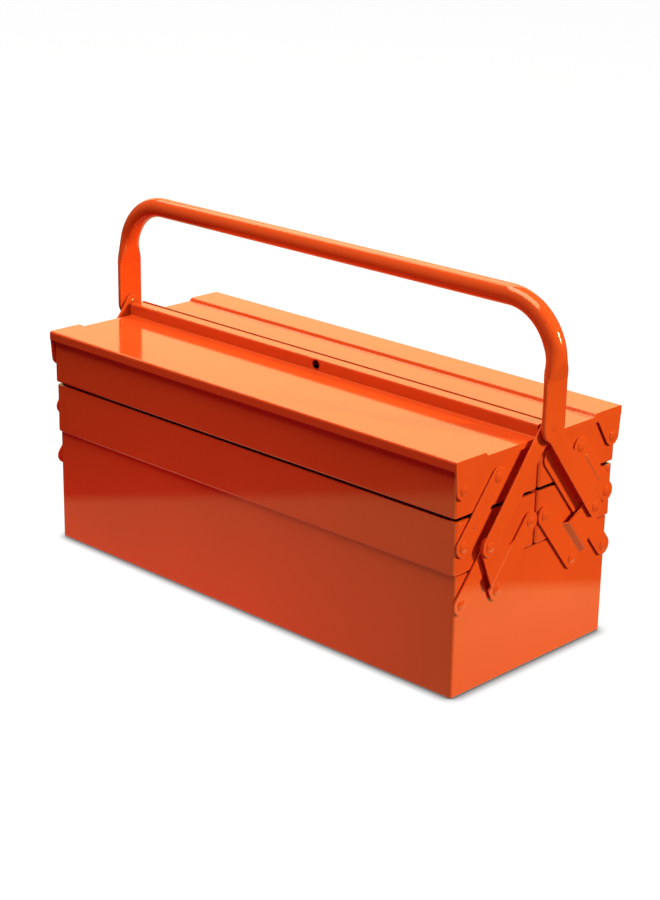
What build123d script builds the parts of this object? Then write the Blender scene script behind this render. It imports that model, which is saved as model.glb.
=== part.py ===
from build123d import *
import math
import os

# Cantilever toolbox in millimetres: X along its length, front at -Y, Z up, origin under its centre.

# Sheet and tubs
box_length = 494.0
box_width = 199.0
box_height = 107.0
mid_tray_height = 46.6
top_tray_height = 45.0
box_to_mid_gap = 0.6
mid_to_top_gap = 2.6
tier_step_end = 0.3
mid_step_side = 2.6
top_step_side = 1.3
tray_gap = 2.0
sheet = 1.0
hem_depth = 7.0
corner_radius = 2.6
bend_radius = 2.2
end_return = 3.0
side_return = 3.0

# Lids
lid_end_room = 1.4
lid_side_room = 2.5
lid_seat_gap = 0.5
lid_lip_depth = 8.2
lid_strip_width = 35.0
lid_step_run = 3.0
lid_step_rise = 3.0
lid_bend = 1.6
lid_end_return = 2.0
ridge_inset = 7.5
ridge_rise = 11.4
ridge_top_width = 12.0
flange_gap = 1.0
flange_drop = 0.5
padlock_hole_radius = 4.5
padlock_hole_rise = 5.7
lid_hinge_inset = 6.9
lid_hinge_drop = 20.6
lid_tab_radius = 8.5
lid_tab_root = 32.0

# Linkage: pivots are measured on the end view, |y| from the middle plane and z
link_width = 17.0
link_thickness = 1.5
link_rise = 49.4
outer_pivot_inset = 6.1
arm_middle_gap = 10.0
crank_middle_gap = 2.0
base_pivot_drop = 24.8
crank_arm_out = 18.6
crank_arm_up = 44.5
crank_web = 30.0
crank_notch_radius = 7.0
joggle_start = 10.0
joggle_run = 4.5
joggle_bend = 2.4
link_wall_gap = 0.4
crank_arm_gap = 1.8
layer_gap = 0.3

# Handle: round tube whose legs are pressed flat
tube_diameter = 18.0
tube_wall = 1.5
tube_corner = 8.6
handle_bend = 50.0
handle_top_above_pivot = 100.2
handle_pivot_above_lid = 10.5
leg_width = 27.0
leg_thickness = 4.0
leg_slit = 1.0
leg_corner_share = 0.45
leg_flat_rise = 38.7
squeeze_steps = 4

# Rivets
shank_radius = 2.4
journal_clearance = 0.06
seat_clearance = 0.03
shoulder_radius = 5.2
head_radius = 4.4
head_height = 1.0
head_rim_share = 0.25
head_gap = 0.15
tail_radius = 2.9
tail_height = 1.2
handle_head_height = 0.3
corner_shank_radius = 1.5
corner_head_radius = 2.6
corner_head_height = 0.55
corner_rivet_inset = 5.2
corner_rivet_drop = 3.5

# Heights of the tiers
mid_floor = box_height + box_to_mid_gap
mid_rim = mid_floor + mid_tray_height
top_floor = mid_rim + mid_to_top_gap
top_rim = top_floor + top_tray_height
panel_under = top_rim + lid_seat_gap
panel_top = panel_under + sheet
strip_top = panel_top + lid_step_rise
lip_bottom = strip_top - lid_lip_depth
ridge_top = panel_top + ridge_rise

# Half lengths and half widths of the tiers
box_half = box_length / 2
mid_half = box_half + tier_step_end
top_half = mid_half + tier_step_end
lid_half = top_half + lid_end_room + sheet
box_side = box_width / 2
mid_side = box_side + mid_step_side
top_side = mid_side + top_step_side
lid_side = top_side + lid_side_room + sheet
tray_inner = tray_gap / 2

# Layers outside the end walls, each given by its inner face; the links swing clear below the lid lips
link_x = top_half + link_wall_gap
crank_arm_x = link_x + link_thickness + head_gap + head_height + crank_arm_gap
front_bar_x = crank_arm_x + link_thickness + layer_gap
rear_bar_x = front_bar_x + link_thickness + layer_gap
leg_x = rear_bar_x + link_thickness + layer_gap
leg_middle_x = leg_x + leg_thickness / 2

# Pivots on the front side as (y, z); the long arm runs from the side to the middle in two equal steps
base_arm = (-(box_side - outer_pivot_inset), box_height - base_pivot_drop)
mid_short = (base_arm[0], base_arm[1] + link_rise)
top_arm = (-(arm_middle_gap + link_width) / 2, mid_short[1] + link_rise)
link_run = (top_arm[0] - base_arm[0]) / 2
mid_arm = (base_arm[0] + link_run, mid_short[1])
top_short = (mid_short[0] + link_run, top_arm[1])
mid_crank = (-(crank_middle_gap + link_width) / 2, mid_short[1])
base_crank = (mid_crank[0] - link_run, base_arm[1])
lid_hinge = (-(top_side - lid_hinge_inset), top_rim - lid_hinge_drop)
crank_eye = (base_crank[0] - crank_arm_out, base_crank[1] + crank_arm_up)
handle_pivot = (0.0, panel_top + handle_pivot_above_lid)
handle_top = handle_pivot[1] + handle_top_above_pivot
corner_rivet = (-(mid_side - corner_rivet_inset), mid_rim - corner_rivet_drop)

seat_radius = shank_radius + seat_clearance
journal_radius = shank_radius + journal_clearance


def end_plate(outline, inner_face, thickness):
    """Sheet lying in an end plane, from its outline in (y, z)."""
    return extrude(Plane.YZ.offset(inner_face) * outline, amount=thickness)


def to_left(shape):
    return mirror(shape, about=Plane.YZ)


def to_rear(shape):
    return mirror(shape, about=Plane.XZ)


def split_ends(shape, middle_half):
    """The long wrapped middle of a sheet piece, and the two end walls welded to it as one group."""
    reach = 2 * box_length
    middle = Box(2 * middle_half, reach, reach)
    return shape & middle, shape - middle


def split_tub(shape, half_length, low_side, high_side):
    """A tub's floor, its two long walls and its two end walls, parted just inside the bends."""
    wrapped, ends = split_ends(shape, half_length - end_return)
    reach = 2 * box_length
    floor_width = high_side - low_side - 2 * side_return
    between = Pos(0, (low_side + high_side) / 2, 0) * Box(reach, floor_width, reach)
    return wrapped & between, wrapped - between, ends


def both_ends(shapes):
    """A group of like pieces at the right end, and their twins at the left end."""
    return Compound(children=[solid for shape in shapes for solid in (shape, to_left(shape))])


# Folded tubs with a hemmed rim
def tub(length, width, height):
    outer = extrude(RectangleRounded(length, width, corner_radius), amount=height)
    outer = fillet(outer.faces().sort_by(Axis.Z)[0].edges(), bend_radius)
    hollow_outline = RectangleRounded(length - 2 * sheet, width - 2 * sheet, corner_radius - sheet)
    hollow = Pos(0, 0, sheet) * extrude(hollow_outline, amount=height - sheet - hem_depth)
    hollow = fillet(hollow.faces().sort_by(Axis.Z)[0].edges(), bend_radius - sheet)
    mouth_outline = RectangleRounded(length - 4 * sheet, width - 4 * sheet, corner_radius - 2 * sheet)
    mouth = Pos(0, 0, height - hem_depth) * extrude(mouth_outline, amount=hem_depth)
    return outer - hollow - mouth


def end_holes(half_length, holes):
    """Rivet holes through both end walls."""
    discs = [Pos(*place) * Circle(radius) for place, radius in holes]
    reach = half_length + sheet
    return [extrude(Plane.YZ * disc, amount=reach, both=True) for disc in discs]


def half_tray(half_length, side, floor, height, holes):
    """Front tray that covers half of the box."""
    width = side - tray_inner
    shape = Pos(0, -(side + tray_inner) / 2, floor) * tub(2 * half_length, width, height)
    return shape - end_holes(half_length, holes)


# Rivets turned about the X axis
def rivet(place, stages, head_start, radius, height):
    """Stages run from inside to outside as (start, end, radius); a domed head closes the last."""
    rim = head_rim_share * height
    crown = height - rim
    outline = [(stages[0][0], 0)]
    for start, end, stage_radius in stages:
        outline += [(start, stage_radius), (end, stage_radius)]
    outline += [(head_start, radius), (head_start + rim, radius)]
    rim_x, rim_radius = outline[-1]
    ball = (rim_radius ** 2 + crown ** 2) / (2 * crown)
    centre_x = rim_x + crown - ball
    half_angle = math.asin(rim_radius / ball) / 2
    dome_middle = (centre_x + ball * math.cos(half_angle), ball * math.sin(half_angle))
    tip = (rim_x + crown, 0)
    sides = Polyline(*outline)
    dome = ThreePointArc(outline[-1], dome_middle, tip)
    profile = make_face(Curve() + [sides, dome, Line(tip, outline[0])])
    return Pos(0, *place) * revolve(profile, axis=Axis.X)


def wall_rivet(place, wall_outer, link_inner, link_depth):
    """Pivot rivet set in an end wall, with a shoulder that holds the link off the wall."""
    wall_inner = wall_outer - sheet
    link_outer = link_inner + link_depth
    stages = [
        (wall_inner - tail_height, wall_inner, tail_radius),
        (wall_inner, wall_outer, shank_radius),
        (wall_outer, link_inner - head_gap, shoulder_radius),
        (link_inner - head_gap, link_outer + head_gap, shank_radius),
    ]
    return rivet(place, stages, link_outer + head_gap, head_radius, head_height)


def corner_fastener():
    """Small rivet that closes a corner of a middle tray through the wall and its hem."""
    stages = [
        (mid_half - 2 * sheet - corner_head_height, mid_half - 2 * sheet, corner_head_radius),
        (mid_half - 2 * sheet, mid_half, corner_shank_radius),
    ]
    return rivet(corner_rivet, stages, mid_half, corner_head_radius, corner_head_height)


# Flat links with round ends
def strip_outline(first, last):
    middle = ((first[0] + last[0]) / 2, (first[1] + last[1]) / 2)
    angle = math.degrees(math.atan2(last[1] - first[1], last[0] - first[0]))
    return Pos(*middle) * Rot(0, 0, angle) * SlotCenterToCenter(math.dist(first, last), link_width)


def strip(pivots, inner_face):
    outline = strip_outline(pivots[0], pivots[-1])
    for place in pivots:
        outline -= Pos(*place) * Circle(journal_radius)
    return end_plate(outline, inner_face, link_thickness)


# Cranks: a plate folded once outwards so that its handle arm passes over the long arm
def crank():
    span = math.dist(base_crank, mid_crank)
    along = ((mid_crank[0] - base_crank[0]) / span, (mid_crank[1] - base_crank[1]) / span)
    across = (-along[1], along[0])
    web_end = (base_crank[0] + crank_web * along[0], base_crank[1] + crank_web * along[1])
    corners = [Pos(*place) * Circle(link_width / 2) for place in (base_crank, crank_eye, web_end)]
    web = make_hull(ShapeList([edge for corner in corners for edge in corner.edges()]))
    outline = strip_outline(base_crank, mid_crank) + web
    notch_guess = (
        web_end[0] + link_width / 2 * (along[0] + across[0]),
        web_end[1] + link_width / 2 * (along[1] + across[1]),
    )
    notch = outline.vertices().sort_by_distance(notch_guess)[0]
    outline = fillet(notch, crank_notch_radius)
    outline -= Pos(*base_crank) * Circle(journal_radius)
    outline -= Pos(*mid_crank) * Circle(journal_radius)
    outline -= Pos(*crank_eye) * Circle(seat_radius)
    depth = crank_arm_x + link_thickness - link_x
    blank = end_plate(outline, link_x, depth)
    reach = 2 * (span + link_width)
    low = link_x + link_thickness / 2
    high = crank_arm_x + link_thickness / 2
    fold = FilletPolyline(
        (-reach, low),
        (joggle_start, low),
        (joggle_start + joggle_run, high),
        (reach, high),
        radius=joggle_bend,
    )
    across_plane = Plane(
        origin=(0, *base_crank),
        x_dir=(0, *across),
        z_dir=(0, *along),
    )
    folded = extrude(across_plane * trace(fold, line_width=link_thickness), amount=reach, both=True)
    return blank & folded


# Lids: a folded sheet with turned-down lips, and a ridge or flange along the inner edge
def lid(section, inner_edge):
    """Front lid from its sheet line in (y, z); the end lips stop at the inner edge."""
    shell = extrude(Plane.YZ * trace(section, line_width=sheet), amount=lid_half, both=True)
    line_side = -(lid_side - sheet / 2)
    strip_inner = -(lid_side - lid_strip_width)
    lip_outline = make_face(
        Polyline(
            (line_side, lip_bottom),
            (line_side, strip_top - sheet / 2),
            (strip_inner, strip_top - sheet / 2),
            (strip_inner + lid_step_run, panel_under + sheet / 2),
            (inner_edge, panel_under + sheet / 2),
            (inner_edge, lip_bottom),
            close=True,
        )
    )
    root_middle = -(lid_side - lid_tab_root / 2)
    tab_root = Pos(root_middle, lip_bottom + sheet / 2) * Rectangle(lid_tab_root - sheet, sheet)
    tab_tip = Pos(*lid_hinge) * Circle(lid_tab_radius)
    tab = make_hull(ShapeList([*tab_root.edges(), *tab_tip.edges()]))
    hinge_hole = Pos(*lid_hinge) * Circle(journal_radius)
    lip = end_plate(lip_outline + tab - hinge_hole, lid_half - sheet, sheet)
    padlock_hole = Plane.XZ * Pos(0, panel_top + padlock_hole_rise) * Circle(padlock_hole_radius)
    padlock_cut = extrude(padlock_hole, amount=2 * ridge_inset, both=True)
    return shell + lip + to_left(lip) - padlock_cut


def lid_section(inner_points):
    """Sheet line from the outer lip over the raised strip to the inner edge."""
    line_side = -(lid_side - sheet / 2)
    strip_inner = -(lid_side - lid_strip_width)
    return FilletPolyline(
        (line_side, lip_bottom),
        (line_side, strip_top - sheet / 2),
        (strip_inner, strip_top - sheet / 2),
        (strip_inner + lid_step_run, panel_top - sheet / 2),
        *inner_points,
        radius=lid_bend,
    )


# Handle: top bar, two bends, and legs that go from round to flat
def handle_core(inset, flat_thickness, corner):
    """The tube's outside for an inset of 0, its bore for an inset of the wall."""
    size = tube_diameter - 2 * inset
    flat_width = leg_width - 2 * inset
    flat_corner = leg_corner_share * flat_thickness
    bend_x = leg_middle_x - handle_bend
    bend_z = handle_top - handle_bend
    round_section = RectangleRounded(size, size, corner)
    bar_section = Plane.YZ.offset(bend_x) * Pos(0, handle_top) * round_section
    half_bar = extrude(bar_section, amount=-bend_x)
    bend = revolve(bar_section, axis=Axis((bend_x, 0, bend_z), (0, 1, 0)), revolution_arc=90)
    flat_top = handle_pivot[1] + leg_flat_rise
    sections = []
    for step in range(squeeze_steps):
        share = step / (squeeze_steps - 1)
        ease = share * share * (3 - 2 * share)
        width = size + (flat_width - size) * ease
        thickness = size + (flat_thickness - size) * ease
        rounding = corner + (flat_corner - corner) * ease
        level = Plane(
            origin=(leg_middle_x, 0, bend_z + (flat_top - bend_z) * share),
            x_dir=(0, 1, 0),
            z_dir=(0, 0, 1),
        )
        sections.append(level * RectangleRounded(width, thickness, rounding))
    squeeze = loft(sections)
    leg = extrude(sections[-1], amount=-(flat_top - handle_pivot[1] + leg_width))
    half = half_bar + bend + squeeze + leg
    return half + to_left(half)


def handle():
    tube = handle_core(0, leg_thickness, tube_corner)
    tube -= handle_core(tube_wall, leg_slit, tube_corner - tube_wall)
    rounded_leg = Pos(0, handle_pivot[1] - leg_width) * Rectangle(2 * leg_width, 2 * leg_width)
    rounded_leg -= Pos(*handle_pivot) * Circle(leg_width / 2)
    reach = leg_middle_x + tube_diameter
    trim = extrude(Plane.YZ * rounded_leg, amount=reach, both=True)
    eye = extrude(Plane.YZ * Pos(*handle_pivot) * Circle(seat_radius), amount=reach, both=True)
    return tube - trim - eye


pieces = {}

# Bottom box and its pivot rivets
base_pivots = [base_arm, base_crank]
base_pivots += [(-y, z) for y, z in base_pivots]
box_holes = [(place, seat_radius) for place in base_pivots]
box_tub = tub(box_length, box_width, box_height) - end_holes(box_half, box_holes)
box_parts = split_tub(box_tub, box_half, -box_side, box_side)
pieces["bottom_box"], pieces["bottom_box_sides"], pieces["bottom_box_ends"] = box_parts
base_rivets = [wall_rivet(place, box_half, link_x, link_thickness) for place in base_pivots]
pieces["base_pivot_rivets"] = both_ends(base_rivets)

# Middle trays
mid_pivots = [mid_short, mid_arm, mid_crank]
mid_holes = [(place, seat_radius) for place in mid_pivots]
mid_holes.append((corner_rivet, corner_shank_radius + seat_clearance))
mid_tub = half_tray(mid_half, mid_side, mid_floor, mid_tray_height, mid_holes)
mid_tray, mid_tray_sides, mid_tray_ends = split_tub(mid_tub, mid_half, -mid_side, -tray_inner)
mid_rivets = [wall_rivet(place, mid_half, link_x, link_thickness) for place in mid_pivots]
side_pieces = {
    "mid_tray": mid_tray,
    "mid_tray_sides": mid_tray_sides,
    "mid_tray_ends": mid_tray_ends,
    "mid_tray_rivets": both_ends(mid_rivets),
    "mid_corner_rivets": both_ends([corner_fastener()]),
}

# Top trays with the hinge rivets of the lids
top_pivots = [top_short, top_arm]
top_holes = [(place, seat_radius) for place in [*top_pivots, lid_hinge]]
top_tub = half_tray(top_half, top_side, top_floor, top_tray_height, top_holes)
top_tray, top_tray_sides, top_tray_ends = split_tub(top_tub, top_half, -top_side, -tray_inner)
side_pieces["top_tray"] = top_tray
side_pieces["top_tray_sides"] = top_tray_sides
side_pieces["top_tray_ends"] = top_tray_ends
top_rivets = [wall_rivet(place, top_half, link_x, link_thickness) for place in top_pivots]
side_pieces["top_tray_rivets"] = both_ends(top_rivets)
side_pieces["lid_rivets"] = both_ends([wall_rivet(lid_hinge, top_half, lid_half - sheet, sheet)])

# Linkage at the right end, and its twin at the left end
end_links = {
    "long_arm": strip([base_arm, mid_arm, top_arm], link_x),
    "short_link": strip([mid_short, top_short], link_x),
    "crank": crank(),
}

for side in ("front", "rear"):
    place_side = to_rear if side == "rear" else lambda shape: shape
    for name, shape in side_pieces.items():
        pieces[f"{side}_{name}"] = place_side(shape)
    bar_x = front_bar_x if side == "front" else rear_bar_x
    head_x = bar_x + link_thickness + head_gap
    crank_stages = [
        (crank_arm_x, crank_arm_x + link_thickness, shank_radius),
        (crank_arm_x + link_thickness, bar_x - head_gap, shoulder_radius),
        (bar_x - head_gap, head_x, shank_radius),
    ]
    crank_rivet = rivet(crank_eye, crank_stages, head_x, head_radius, head_height)
    pieces[f"{side}_crank_rivets"] = place_side(both_ends([crank_rivet]))
    for name, shape in [*end_links.items(), ("handle_bar", strip([crank_eye, handle_pivot], bar_x))]:
        pieces[f"{side}_{name}_right"] = place_side(shape)
        pieces[f"{side}_{name}_left"] = to_left(place_side(shape))

# Front lid with the ridge, rear lid with the flange that stands behind it
panel_line = panel_top - sheet / 2
ridge_line = ridge_top - sheet / 2
ridge_face = -(ridge_inset - sheet / 2)
ridge_back = ridge_top_width - ridge_inset
front_section = lid_section([(ridge_face, panel_line), (ridge_face, ridge_line), (ridge_back, ridge_line)])
lid_middle_half = lid_half - lid_end_return
front_lid = lid(front_section, ridge_face)
pieces["front_lid"], pieces["front_lid_ends"] = split_ends(front_lid, lid_middle_half)
flange_face = ridge_back + flange_gap + sheet / 2
rear_section = lid_section([(-flange_face, panel_line), (-flange_face, ridge_top - flange_drop)])
rear_lid = to_rear(lid(rear_section, -flange_face))
pieces["rear_lid"], pieces["rear_lid_ends"] = split_ends(rear_lid, lid_middle_half)

# Handle and its pivots
pieces["handle_tube"] = handle()
leg_outer = leg_x + leg_thickness
handle_shank = [(rear_bar_x, leg_outer, shank_radius)]
handle_rivet = rivet(handle_pivot, handle_shank, leg_outer, head_radius, handle_head_height)
pieces["handle_pivot_rivets"] = both_ends([handle_rivet])

# Rivet tails left in the front bars, under the handle pivot
tail_shank = [(-(front_bar_x + link_thickness), -front_bar_x, shank_radius)]
tail_rivet = rivet(handle_pivot, tail_shank, -front_bar_x, head_radius, tail_height)
pieces["front_bar_tails"] = both_ends([tail_rivet])

os.makedirs("parts", exist_ok=True)
for name, shape in pieces.items():
    export_step(shape, f"parts/{name}.step")
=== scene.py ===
import math

import bmesh
import bpy
from mathutils import Matrix, Vector


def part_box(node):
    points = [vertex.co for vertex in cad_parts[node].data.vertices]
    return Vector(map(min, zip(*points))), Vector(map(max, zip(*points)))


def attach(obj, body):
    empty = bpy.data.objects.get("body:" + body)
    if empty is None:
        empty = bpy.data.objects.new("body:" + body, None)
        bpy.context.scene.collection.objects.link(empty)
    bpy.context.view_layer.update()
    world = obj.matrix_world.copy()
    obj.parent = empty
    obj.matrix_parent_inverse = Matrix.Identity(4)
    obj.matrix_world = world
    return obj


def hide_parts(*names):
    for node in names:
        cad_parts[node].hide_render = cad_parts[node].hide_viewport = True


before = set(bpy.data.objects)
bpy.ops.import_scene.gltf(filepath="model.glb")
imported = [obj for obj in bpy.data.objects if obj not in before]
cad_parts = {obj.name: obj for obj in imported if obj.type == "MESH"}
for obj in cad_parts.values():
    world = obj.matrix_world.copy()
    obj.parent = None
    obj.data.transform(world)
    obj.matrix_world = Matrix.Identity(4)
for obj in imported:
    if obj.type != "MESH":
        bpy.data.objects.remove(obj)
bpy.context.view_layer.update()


# Bottom box: one deep tub folded from 1 mm steel sheet, its rim turned inwards as a hem, its corners
# spot-welded. Like every later piece it is sprayed and baked in a glossy orange-red enamel, which
# thins out along the edges, drawn there in a lighter tone that is partly a painted highlight, and lies
# on the wide walls with a slight orange peel.
class Value:
    """A shader socket that takes part in plain arithmetic by adding Math nodes."""

    def __init__(self, tree, socket=None):
        self.tree = tree
        self.socket = socket

    def node(self, kind, settings=None, inputs=None, output=0):
        made = self.tree.nodes.new(kind)
        for name, setting in (settings or {}).items():
            if name == "stops":
                ramp = made.color_ramp.elements
                for stop, (position, level) in zip((ramp[0], ramp[1]), setting):
                    stop.position = position
                    stop.color = (level, level, level, 1)
            else:
                setattr(made, name, setting)
        for name, given in (inputs or {}).items():
            socket = made.inputs[name]
            if isinstance(given, Value):
                self.tree.links.new(given.socket, socket)
            else:
                socket.default_value = given
        return Value(self.tree, made.outputs[output])

    def maths(self, operation, first, second):
        return self.node("ShaderNodeMath", {"operation": operation}, {0: first, 1: second})

    def __add__(self, other):
        return self.maths("ADD", self, other)

    def __radd__(self, other):
        return self.maths("ADD", other, self)

    def __sub__(self, other):
        return self.maths("SUBTRACT", self, other)

    def __rsub__(self, other):
        return self.maths("SUBTRACT", other, self)

    def __mul__(self, other):
        return self.maths("MULTIPLY", self, other)

    def __rmul__(self, other):
        return self.maths("MULTIPLY", other, self)


def turned(start, share, first, second):
    """The first colour, turned into the second by a share from 0 to 1."""
    return start.node(
        "ShaderNodeMix", {"data_type": "RGBA"}, {"Factor": share, 6: first, 7: second}, output=2
    )


def noise(start, place, scale, detail):
    """Soft random patches, the smaller the larger the scale."""
    return start.node("ShaderNodeTexNoise", None, {"Vector": place, "Scale": scale, "Detail": detail})


def stepped(start, level, stops):
    """A level taken through two stops, each a place and what it becomes there."""
    return start.node("ShaderNodeValToRGB", {"stops": stops}, {"Fac": level})


def enamel(name, colour, roughness, waviness, chips, coat=0.08):
    """Baked gloss enamel: cloudy colour, wiping marks, orange peel, dust nibs, and thin paint along the
    edges drawn lighter, partly a painted edge highlight.
    """
    deep_share = 0.86
    thin_and_highlight_least, thin_and_highlight_more = 0.20, 0.5
    thin_paint_and_highlight = (0.86, 0.185, 0.055, 1.0)
    chip_stops = ((0.66, 0), (0.69, 1))
    bare_steel = (0.16, 0.10, 0.085, 1.0)
    wiping = (5.0, 60.0, 60.0)
    wiping_haze, bare_haze = 0.05, 0.25
    peel_height, nib_height = 0.000006, 0.00001
    nib_size = 150.0
    nib_stops = ((0.03, 1), (0.09, 0))
    enamel_ior = 1.6
    warm_gloss = (1.0, 0.76, 0.34, 1.0)
    coat_roughness = 0.04

    material = bpy.data.materials.new(name)
    material.use_nodes = True
    tree = material.node_tree
    shader = tree.nodes["Principled BSDF"]
    start = Value(tree)
    place = start.node("ShaderNodeTexCoord", output="Object")
    edge = start.node("ShaderNodeAttribute", {"attribute_name": "edge"}, output="Fac")

    cloud = noise(start, place, scale=8.0, detail=3.0)
    deep = [channel * deep_share for channel in colour]
    tone = turned(start, cloud, [*deep, 1.0], [*colour, 1.0])
    grain = noise(start, place, scale=95.0, detail=5.0)
    # Edges: paint thinned along them, drawn lighter and more orange, which is partly a painted edge
    # highlight.
    thin_and_highlight_share = edge * (thin_and_highlight_least + thin_and_highlight_more * grain)
    tone = turned(start, thin_and_highlight_share, tone, thin_paint_and_highlight)
    bare = edge * stepped(start, noise(start, place, scale=46.0, detail=6.0), chip_stops) * chips
    tone = turned(start, bare, tone, bare_steel)
    tree.links.new(tone.socket, shader.inputs["Base Color"])

    wiped = start.node("ShaderNodeMapping", None, {"Vector": place, "Scale": wiping})
    marks = noise(start, wiped, scale=1.0, detail=4.0)
    gloss = roughness + wiping_haze * marks + bare_haze * bare
    tree.links.new(gloss.socket, shader.inputs["Roughness"])

    peel = noise(start, place, scale=330.0, detail=1.0)
    wave = noise(start, place, scale=11.0, detail=1.0)
    nib_field = start.node("ShaderNodeTexVoronoi", None, {"Vector": place, "Scale": nib_size})
    nib = stepped(start, nib_field, nib_stops)
    height = peel_height * peel + waviness * wave + nib_height * nib
    bump = start.node("ShaderNodeBump", None, {"Strength": 1.0, "Distance": 1.0, "Height": height})
    tree.links.new(bump.socket, shader.inputs["Normal"])

    shader.inputs["IOR"].default_value = enamel_ior
    shader.inputs["Specular Tint"].default_value = warm_gloss
    shader.inputs["Coat Weight"].default_value = coat
    shader.inputs["Coat Roughness"].default_value = coat_roughness
    return material


def ease(solid, edges, radius, steps):
    """Rounds edges and returns the faces of the rounding."""
    return bmesh.ops.bevel(
        solid,
        geom=edges,
        offset=radius,
        offset_type="OFFSET",
        affect="EDGES",
        segments=steps,
        profile=0.5,
        material=-1,
        clamp_overlap=True,
    )["faces"]


def finish_piece(name, solid, body, paint, flat_faces=True):
    """Turns a shaped solid into a painted piece that moves with its body."""
    for part in [*solid.faces, *solid.edges]:
        part.smooth = True
    mesh = bpy.data.meshes.new(name)
    solid.to_mesh(mesh)
    solid.free()
    mesh.materials.append(paint)
    imported_normals = mesh.attributes.get("custom_normal")
    if imported_normals:
        mesh.attributes.remove(imported_normals)
    piece = bpy.data.objects.new(name, mesh)
    bpy.context.scene.collection.objects.link(piece)
    if flat_faces:
        shading = piece.modifiers.new("flat_faces", "WEIGHTED_NORMAL")
        shading.keep_sharp = False
    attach(piece, body)
    return piece


def painted_copy(node_names, body, paint, edge_radius, weld_axes=()):
    """A merged copy of CAD solids, the welds between them closed and the sharp edges eased."""
    merge_distance = 0.000002
    square_on = 0.99
    flat_angle = math.radians(0.6)
    sharp_angle = math.radians(32)
    edge_steps = 2

    solid = bmesh.new()
    for node_name in node_names:
        solid.from_mesh(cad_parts[node_name].data)
    bmesh.ops.remove_doubles(solid, verts=solid.verts, dist=merge_distance)
    first_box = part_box(node_names[0])
    welds = [(axis, corner[axis]) for axis in weld_axes for corner in first_box]
    for axis, level in welds:
        across = Vector((0, 0, 0))
        across[axis] = 1
        everything = [*solid.verts, *solid.edges, *solid.faces]
        bmesh.ops.bisect_plane(
            solid, geom=everything, dist=merge_distance, plane_co=level * across, plane_no=across
        )
    bmesh.ops.remove_doubles(solid, verts=solid.verts, dist=merge_distance)
    inner = {
        face
        for face in solid.faces
        for axis, level in welds
        if abs(face.normal[axis]) > square_on
        and all(abs(corner.co[axis] - level) < merge_distance for corner in face.verts)
    }
    bmesh.ops.delete(solid, geom=list(inner), context="FACES")
    bmesh.ops.dissolve_limit(solid, angle_limit=flat_angle, verts=solid.verts, edges=solid.edges)

    edge_layer = solid.loops.layers.float.new("edge")
    sharp = [edge for edge in solid.edges if edge.is_manifold and edge.calc_face_angle() > sharp_angle]
    for face in ease(solid, sharp, edge_radius, edge_steps):
        for corner in face.loops:
            corner[edge_layer] = 1.0
    bmesh.ops.dissolve_degenerate(solid, dist=merge_distance, edges=solid.edges)
    piece = finish_piece(f"painted_{node_names[0]}", solid, body, paint)
    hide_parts(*node_names)


orange_red = (0.80, 0.082, 0.012)
sheet_edge = 0.00028
box_enamel = enamel("box_enamel", orange_red, roughness=0.06, waviness=0.00012, chips=0.5)
along_box, across_box = 0, 1
tub_welds = (along_box, across_box)
box_sheets = ["bottom_box", "bottom_box_sides", "bottom_box_ends"]
painted_copy(box_sheets, "base", box_enamel, sheet_edge, tub_welds)

# Pivot rivets of the bottom box: solid steel rivets with a shoulder that keeps the link off the wall,
# set through the end walls and painted with them. Their round heads stay a little duller than the sheet.
rivet_red = (0.78, 0.080, 0.012)
rivet_edge = 0.00015
rivet_enamel = enamel("rivet_enamel", rivet_red, roughness=0.14, waviness=0.0, chips=0.35)
painted_copy(["base_pivot_rivets"], "base", rivet_enamel, rivet_edge)

# Long arms: flat steel bars with round ends, one to each end and side. They turn on the bottom box,
# carry the middle tray at half length and the top tray at the tip, and scuff a little where they pass it.
link_red = (0.82, 0.086, 0.012)
link_edge = 0.00030
link_enamel = enamel("link_enamel", link_red, roughness=0.09, waviness=0.00004, chips=0.8)
for side in ("front", "rear"):
    for end in ("left", "right"):
        painted_copy([f"{side}_long_arm_{end}"], f"{side}_arms", link_enamel, link_edge)

# Middle trays: two shallow tubs of the same sheet that sit on the rim of the bottom box, with pivot
# rivets in their end walls and one small rivet that closes each outer corner.
tray_enamel = enamel("tray_enamel", orange_red, roughness=0.06, waviness=0.00010, chips=0.5)
for side in ("front", "rear"):
    tray_sheets = [f"{side}_mid_tray", f"{side}_mid_tray_sides", f"{side}_mid_tray_ends"]
    painted_copy(tray_sheets, f"{side}_mid", tray_enamel, sheet_edge, tub_welds)
    painted_copy([f"{side}_mid_tray_rivets"], f"{side}_mid", rivet_enamel, rivet_edge)
    painted_copy([f"{side}_mid_corner_rivets"], f"{side}_mid", rivet_enamel, rivet_edge)

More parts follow.
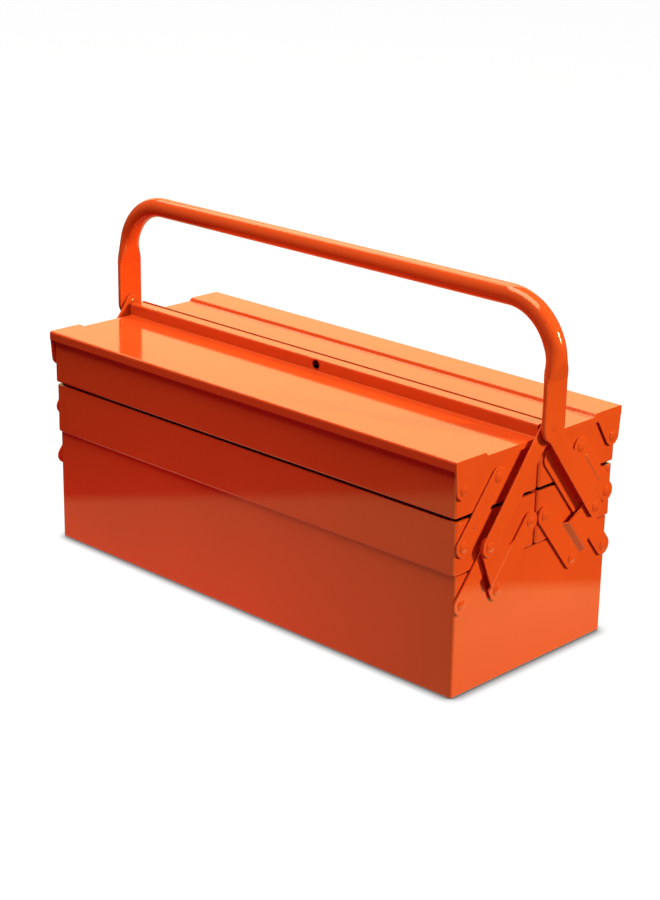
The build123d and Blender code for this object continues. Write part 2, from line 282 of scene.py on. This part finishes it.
# Short links: flat bars with two pivots that keep each top tray level over its middle tray. A narrow
# bead with sloping flanks is pressed out of the steel along the upper half to stiffen the bar.
bead_length = 0.036
bead_width = 0.0038
bead_height = 0.0008
bead_flank = 0.0014
bead_sink = 0.0004
bead_from_top = 0.029
bead_easing = 0.00012
bead_steps = 2
link_half_width = 0.0085
crown_length_share = 1 - 2 * bead_flank / bead_length
crown_width_share = 1 - 2 * bead_flank / bead_width
for side, inward in (("front", 1), ("rear", -1)):
    for end, outward in (("left", -1), ("right", 1)):
        link = f"{side}_short_link_{end}"
        painted_copy([link], f"{side}_short_links", link_enamel, link_edge)
        link_low, link_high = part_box(link)
        inner_y = link_high.y if inward > 0 else link_low.y
        outer_x = link_high.x if outward > 0 else link_low.x
        run = (link_high.y - link_low.y - 2 * link_half_width) * inward
        rise = link_high.z - link_low.z - 2 * link_half_width
        upper_eye = Vector((outer_x, inner_y - inward * link_half_width, link_high.z - link_half_width))
        middle = upper_eye - bead_from_top * Vector((0, run, rise)).normalized()
        lean = Matrix.Rotation(math.atan2(rise, run), 4, "X")
        proud = outward * (bead_height - bead_sink) / 2
        bead = bmesh.new()
        bmesh.ops.create_cube(bead, size=1)
        bead_size = (bead_height + bead_sink, bead_length, bead_width)
        bmesh.ops.scale(bead, verts=bead.verts, vec=bead_size)
        crown = [corner for corner in bead.verts if corner.co.x * outward > 0]
        bmesh.ops.scale(bead, verts=crown, vec=(1, crown_length_share, crown_width_share))
        bmesh.ops.translate(bead, verts=bead.verts, vec=(proud, 0, 0))
        bmesh.ops.transform(bead, matrix=Matrix.Translation(middle) @ lean, verts=bead.verts)
        ease(bead, bead.edges[:], bead_easing, bead_steps)
        finish_piece(f"{link}_bead", bead, f"{side}_short_links", link_enamel)

# Cranks: stamped steel plates, folded once outwards so that the arm that takes the handle bar passes
# over the long arm. Shouldered rivets in their eyes hold the bars.
for side in ("front", "rear"):
    for end in ("left", "right"):
        painted_copy([f"{side}_crank_{end}"], f"{side}_cranks", link_enamel, link_edge)
    painted_copy([f"{side}_crank_rivets"], f"{side}_cranks", rivet_enamel, rivet_edge)

# Top trays: the upper pair of shallow tubs, with the pivot rivets of the links and, near the outer
# corners, the rivets on which the lids turn.
for side in ("front", "rear"):
    tray_sheets = [f"{side}_top_tray", f"{side}_top_tray_sides", f"{side}_top_tray_ends"]
    painted_copy(tray_sheets, f"{side}_top", tray_enamel, sheet_edge, tub_welds)
    painted_copy([f"{side}_top_tray_rivets"], f"{side}_top", rivet_enamel, rivet_edge)
    painted_copy([f"{side}_lid_rivets"], f"{side}_top", rivet_enamel, rivet_edge)

# Lids: two pressed sheets with a raised strip along the outside and lips turned down all round. The
# front lid carries the long ridge with the padlock hole, the rear lid the low flange behind it.
lid_enamel = enamel("lid_enamel", orange_red, roughness=0.09, waviness=0.00010, chips=0.4, coat=0.15)
for side in ("front", "rear"):
    lid_sheets = [f"{side}_lid", f"{side}_lid_ends"]
    painted_copy(lid_sheets, f"{side}_cover", lid_enamel, sheet_edge, (along_box,))

# Rolled edge of the rear lid: the free edge of its flange is turned over once to blunt it. A thin line
# of it stands above the ridge of the front lid and marks the parting of the two lids.
roll_rise = 0.0013
roll_sink = 0.0010
roll_width = 0.0014
roll_easing = 0.00030
roll_steps = 3
roll_end_room = 0.0008
rear_lid_low, rear_lid_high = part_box("rear_lid")
roll_length = rear_lid_high.x - rear_lid_low.x - 2 * roll_end_room
roll_middle = Vector((
    (rear_lid_low.x + rear_lid_high.x) / 2,
    rear_lid_low.y + roll_width / 2,
    rear_lid_high.z + (roll_rise - roll_sink) / 2,
))
roll = bmesh.new()
bmesh.ops.create_cube(roll, size=1)
bmesh.ops.scale(roll, verts=roll.verts, vec=(roll_length, roll_width, roll_rise + roll_sink))
bmesh.ops.translate(roll, verts=roll.verts, vec=roll_middle)
ease(roll, roll.edges[:], roll_easing, roll_steps)
finish_piece("rear_lid_rolled_edge", roll, "rear_cover", lid_enamel)

# Handle bars: straight flat bars from the crank eyes up to the handle pivot, an inverted V at each
# end of the box. The tails of the handle rivets stay in the front pair.
for side in ("front", "rear"):
    for end in ("left", "right"):
        painted_copy([f"{side}_handle_bar_{end}"], f"{side}_bars", link_enamel, link_edge)
painted_copy(["front_bar_tails"], "front_bars", rivet_enamel, rivet_edge)

# Handle: one steel tube, bent twice and pressed flat along both legs, whose round ends turn on the
# bars with flush rivets. It is sprayed with the box and polished a little by hands.
handle_enamel = enamel("handle_enamel", link_red, roughness=0.08, waviness=0.0, chips=0.3)
handle_low, handle_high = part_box("handle_tube")
tube_radius = 0.009
tube_facets = 40
bend_radius = 0.050
bend_steps = 40
bar_steps = 6
leg_half_width = 0.0135
leg_half_thickness = 0.002
flat_rise = 0.0387
leg_x = handle_high.x - tube_radius
bar_z = handle_high.z - tube_radius
pivot_z = handle_low.z + leg_half_width
bend_z = bar_z - bend_radius
flat_z = pivot_z + flat_rise

tube = bmesh.new()
upright_ring = Matrix.Translation((0, 0, bar_z)) @ Matrix.Rotation(math.radians(90), 4, "Y")
bmesh.ops.create_circle(tube, cap_ends=False, segments=tube_facets, radius=tube_radius, matrix=upright_ring)
rim = list(tube.edges)


def run_on(edges, step):
    """Draws the tube on by one step and returns the new rim, as edges and as points."""
    drawn = bmesh.ops.extrude_edge_only(tube, edges=edges)["geom"]
    points = [part for part in drawn if isinstance(part, bmesh.types.BMVert)]
    bmesh.ops.translate(tube, verts=points, vec=step)
    return [part for part in drawn if isinstance(part, bmesh.types.BMEdge)], points


for _ in range(bar_steps):
    rim, rim_points = run_on(rim, ((leg_x - bend_radius) / bar_steps, 0, 0))
bent = bmesh.ops.spin(
    tube,
    geom=rim + rim_points,
    cent=(leg_x - bend_radius, 0, bend_z),
    axis=(0, 1, 0),
    angle=math.radians(90),
    steps=bend_steps,
)["geom_last"]
rim = [part for part in bent if isinstance(part, bmesh.types.BMEdge)]

squeeze_rings = 18
end_rings = 12
for _ in range(squeeze_rings):
    rim, rim_points = run_on(rim, (0, 0, (flat_z - bend_z) / squeeze_rings))
rim, rim_points = run_on(rim, (0, 0, pivot_z - flat_z))
end_levels = [math.sin(math.radians(90 * ring / end_rings)) for ring in range(1, end_rings)]
for level, last_level in zip(end_levels, [0, *end_levels]):
    rim, rim_points = run_on(rim, (0, 0, (last_level - level) * leg_half_width))
bmesh.ops.edgeloop_fill(tube, edges=rim)

flat_fullness = 3.0
squeeze_lead = 0.019
squeeze_toe = 0.30
bend_room = 0.08
squeeze_z = bend_z + squeeze_lead
for point in tube.verts:
    depth = squeeze_z - point.co.z
    if depth <= 0:
        continue
    way = min(1, depth / (squeeze_z - flat_z))
    pressed = way * way * (1 + squeeze_toe) / (way + squeeze_toe)
    half_width = tube_radius + (leg_half_width - tube_radius) * pressed
    half_thickness = tube_radius + (leg_half_thickness - tube_radius) * pressed
    above = max(0, point.co.z - bend_z) / bend_radius
    axis_x = leg_x - bend_radius * (1 - math.sqrt(1 - above * above))
    below = max(0, pivot_z - point.co.z) / leg_half_width
    across = (point.co.x - axis_x) / tube_radius * half_thickness * (1 + flat_fullness * pressed**3)
    limit = half_thickness * (1 + bend_room * (1 - pressed))
    point.co.x = axis_x + max(-limit, min(limit, across))
    point.co.y *= half_width / tube_radius * math.sqrt(1 - below * below)

mirror_weld = 0.00001
seam_weld = 0.000001
bmesh.ops.mirror(tube, geom=[*tube.verts, *tube.edges, *tube.faces], axis="X", merge_dist=mirror_weld)
bmesh.ops.remove_doubles(tube, verts=tube.verts, dist=seam_weld)
bmesh.ops.recalc_face_normals(tube, faces=tube.faces)
handle = finish_piece("handle", tube, "handle", handle_enamel, flat_faces=False)
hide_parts("handle_tube")
painted_copy(["handle_pivot_rivets"], "handle", rivet_enamel, rivet_edge)

# Table: the box stands on a wide white board. A strip across it glows for the box only: a painted rosy
# bounce light on the walls and a painted warm reflection in them up to its edge, stronger or weaker
# towards the right-hand end. An occlusion term paints a narrow shadow where the box touches.
board_half_size = 12
glow_strip_half_width = 0.352
glow_strip_edge = 0.014
glow_strip_across = (0.76, 0.65, 0)
board_level = 0.03
front_painted_bounce, end_painted_bounce_loss = 1.06, 0.68
front_painted_reflection, end_painted_reflection_gain = 0.55, 0.42
painted_bounce_end_stops = ((0.0, 0), (0.30, 1))
painted_reflection_end_stops = ((0.20, 0), (0.32, 1))
shadow_reach = 0.012
shadow_stops = ((0.45, 0.12), (0.97, 0.97))
painted_bounce_tone = (1.0, 0.12, 0.80, 1)
painted_reflection_tone = (1.0, 0.94, 0.52, 1)
white = (1, 1, 1, 1)
black = (0, 0, 0, 1)
paper_grey = (0.08, 0.08, 0.08, 1)

floor_mesh = bpy.data.meshes.new("floor")
floor_sheet = bmesh.new()
bmesh.ops.create_grid(floor_sheet, x_segments=1, y_segments=1, size=board_half_size)
floor_sheet.to_mesh(floor_mesh)
floor_sheet.free()
floor = bpy.data.objects.new("floor", floor_mesh)
bpy.context.scene.collection.objects.link(floor)

floor_white = bpy.data.materials.new("floor_white")
floor_white.use_nodes = True
floor_tree = floor_white.node_tree
floor_tree.nodes.clear()
start = Value(floor_tree)
seen = start.node("ShaderNodeLightPath", output="Is Camera Ray")
mirrored = start.node("ShaderNodeLightPath", output="Is Glossy Ray")
place = start.node("ShaderNodeTexCoord", output="Object")
off_centre = start.node(
    "ShaderNodeVectorMath", {"operation": "DOT_PRODUCT"}, {0: place, 1: glow_strip_across}, output="Value"
)
off_centre = start.node("ShaderNodeMath", {"operation": "ABSOLUTE"}, {0: off_centre})
glow_strip_stops = ((glow_strip_half_width - glow_strip_edge, 1), (glow_strip_half_width + glow_strip_edge, board_level))
glow_strip_level = stepped(start, off_centre, glow_strip_stops)
along = start.node("ShaderNodeSeparateXYZ", None, {"Vector": place}, output="X")
painted_bounce_level = front_painted_bounce - end_painted_bounce_loss * stepped(start, along, painted_bounce_end_stops)
painted_reflection_level = front_painted_reflection + end_painted_reflection_gain * stepped(start, along, painted_reflection_end_stops)
# Painted glow of the strip: emission the camera never sees, standing in for bounce light and the table's
# reflection.
painted_glow_level = glow_strip_level * (painted_bounce_level + mirrored * (painted_reflection_level - painted_bounce_level))
contact = start.node("ShaderNodeAmbientOcclusion", None, {"Distance": shadow_reach}, output="AO")
shadow = stepped(start, contact, shadow_stops)
painted_glow_tone = turned(start, mirrored, painted_bounce_tone, painted_reflection_tone)
glow = start.node(
    "ShaderNodeEmission",
    None,
    {"Color": turned(start, seen, painted_glow_tone, white), "Strength": seen * shadow + (1 - seen) * painted_glow_level},
)
matt = start.node("ShaderNodeBsdfDiffuse", None, {"Color": turned(start, seen, black, paper_grey)})
both = start.node("ShaderNodeAddShader", None, {0: glow, 1: matt})
floor_end = floor_tree.nodes.new("ShaderNodeOutputMaterial")
floor_tree.links.new(both.socket, floor_end.inputs["Surface"])
floor_mesh.materials.append(floor_white)

# Room: plain white walls all round, seen as white behind the box. They send only a weak rosy light
# back on it.
room_dim = 0.07
room_tone = (1.0, 0.60, 0.90, 1)
world = bpy.data.worlds.new("studio")
world.use_nodes = True
room = world.node_tree
start = Value(room)
room_seen = start.node("ShaderNodeLightPath", output="Is Camera Ray")
room_level = room_dim + (1 - room_dim) * room_seen
room.links.new(room_level.socket, room.nodes["Background"].inputs["Strength"])
room_colour = turned(start, room_seen, room_tone, white)
room.links.new(room_colour.socket, room.nodes["Background"].inputs["Color"])
bpy.context.scene.world = world


# Lamps: a small one behind the right-hand end throws the sharp shadows of the bars and is kept off the
# table. Two wide ones overhead and a screen behind the left-hand end mirror in the lids and the handle,
# and a weak one fills the right-hand end without a mirror image.
def lamp(name, place, target, width, height, watts, colour):
    """A rectangular soft box turned towards a point."""
    light = bpy.data.lights.new(name, "AREA")
    light.shape = "RECTANGLE"
    light.size = width
    light.size_y = height
    light.energy = watts
    light.color = colour
    stand = bpy.data.objects.new(name, light)
    aim = Vector(target) - Vector(place)
    stand.matrix_world = Matrix.Translation(place) @ aim.to_track_quat("-Z", "Y").to_matrix().to_4x4()
    bpy.context.scene.collection.objects.link(stand)
    return stand


key_lamp = lamp(
    "key_lamp",
    place=(2.01, 0.82, 1.13),
    target=(0.2, 0, 0.15),
    width=0.19,
    height=0.48,
    watts=55,
    colour=(0.97, 1.0, 0.60),
)
kept_off = bpy.data.collections.new("kept_off_by_key_lamp")
kept_off.objects.link(floor)
kept_off.collection_objects[0].light_linking.link_state = "EXCLUDE"
key_lamp.light_linking.receiver_collection = kept_off
lamp(
    "top_lamp",
    place=(-0.15, -0.60, 2.00),
    target=(-0.15, -0.60, 0.1),
    width=1.7,
    height=1.3,
    watts=46,
    colour=(1.0, 1.0, 1.0),
)
lamp(
    "streak_lamp",
    place=(-1.45, 0.80, 1.90),
    target=(-1.45, 0.80, 0.1),
    width=1.5,
    height=1.8,
    watts=31,
    colour=(1.0, 0.92, 0.62),
)
lamp(
    "back_screen",
    place=(-1.55, 1.62, 1.00),
    target=(0, 0, 0.2),
    width=2.4,
    height=1.1,
    watts=12,
    colour=(0.62, 0.85, 0.37),
)
fill_lamp = lamp(
    "fill_lamp",
    place=(2.48, -0.09, 0.70),
    target=(0.25, -0.07, 0.16),
    width=0.42,
    height=0.30,
    watts=5.0,
    colour=(1.0, 1.0, 1.0),
)
fill_lamp.visible_glossy = False

# Camera: it stands well back at the front right corner, a little above the lids, with a long lens and
# a very slight tilt.
camera_azimuth = math.radians(43.66)
camera_elevation = math.radians(19.33)
camera_roll = math.radians(1.07)
camera_place = Vector((1.19482, -1.23914, 0.73116))
focal_pixels = 2023.15
frame_height_pixels = 900
back = Vector((
    math.sin(camera_azimuth) * math.cos(camera_elevation),
    -math.cos(camera_azimuth) * math.cos(camera_elevation),
    math.sin(camera_elevation),
))
right = Vector((math.cos(camera_azimuth), math.sin(camera_azimuth), 0))
up = back.cross(right)
tilted_right = math.cos(camera_roll) * right + math.sin(camera_roll) * up
tilted_up = math.cos(camera_roll) * up - math.sin(camera_roll) * right
lens = bpy.data.cameras.new("camera")
lens.sensor_width = 36
lens.lens = focal_pixels * lens.sensor_width / frame_height_pixels
camera = bpy.data.objects.new("camera", lens)
camera.matrix_world = Matrix((
    (tilted_right.x, tilted_up.x, back.x, camera_place.x),
    (tilted_right.y, tilted_up.y, back.y, camera_place.y),
    (tilted_right.z, tilted_up.z, back.z, camera_place.z),
    (0, 0, 0, 1),
))
bpy.context.scene.collection.objects.link(camera)
bpy.context.scene.camera = camera
bpy.context.scene.view_settings.view_transform = "Standard"
